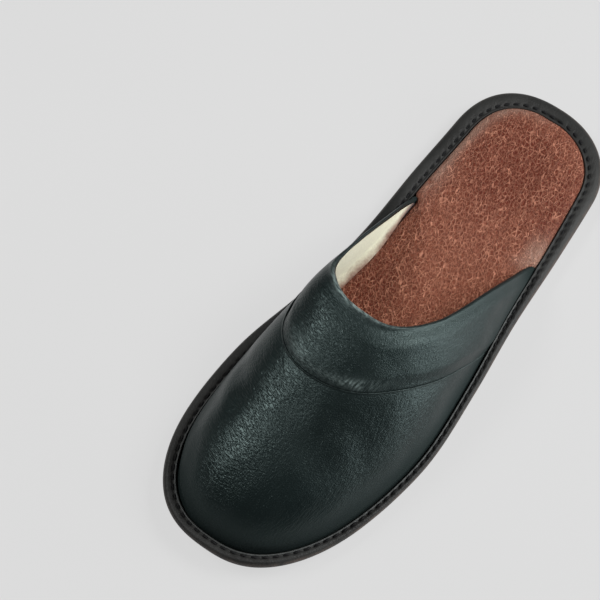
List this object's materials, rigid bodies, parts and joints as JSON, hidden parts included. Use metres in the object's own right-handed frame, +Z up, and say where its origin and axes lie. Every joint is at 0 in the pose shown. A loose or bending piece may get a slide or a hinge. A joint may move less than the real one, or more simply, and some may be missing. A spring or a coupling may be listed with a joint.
{
  "type": "leather mule slipper",
  "caption": "Backless leather mule slipper with a rounded toe, padded collar band, padded insole and stitched rand on a thin sole.",
  "frame": {"origin": "on the floor under the middle of the shoe's bounding box", "axes": "+X to the toe, +Y to the outer side of the left foot, +Z up"},
  "size_m": [0.28, 0.1054, 0.0619],
  "materials": {
    "sole_rubber": "matt dark brown",
    "rand_leather": "soft sheen, stitched",
    "insole_leather": "coarse tumbled grain",
    "upper_leather": "fine grain, semi-gloss",
    "band_leather": "fine grain, semi-gloss"
  },
  "bodies": {
    "root": {"outsole": "sole_rubber", "rand": "rand_leather", "insole": "insole_leather", "upper": "upper_leather", "collar_band": "band_leather"}
  },
  "joints": []
}
